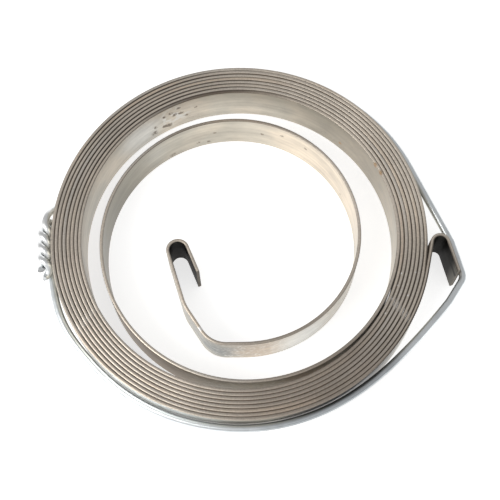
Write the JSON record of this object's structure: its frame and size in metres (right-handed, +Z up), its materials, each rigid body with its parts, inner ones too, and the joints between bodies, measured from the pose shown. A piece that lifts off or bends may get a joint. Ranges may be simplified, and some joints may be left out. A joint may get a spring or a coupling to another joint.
{
  "type": "recoil starter spring",
  "caption": "Flat spiral spring of steel strip with a hook at each end, wound close and held by a twisted tie wire, for the rope starter of a small engine.",
  "frame": {"origin": "middle of the wound pack, at the height of the strip's lower edge", "axes": "+Z up along the axis that the spring winds about, +X towards the outer hook, -Y to the front"},
  "size_m": [0.0908, 0.0832, 0.01],
  "materials": {
    "spring_steel": "rolled strip, lightly oiled, a few brown specks",
    "zinc_wire": "galvanised"
  },
  "bodies": {
    "root": {"starter_spring": "spring_steel", "tie_wire": "zinc_wire"}
  },
  "joints": []
}
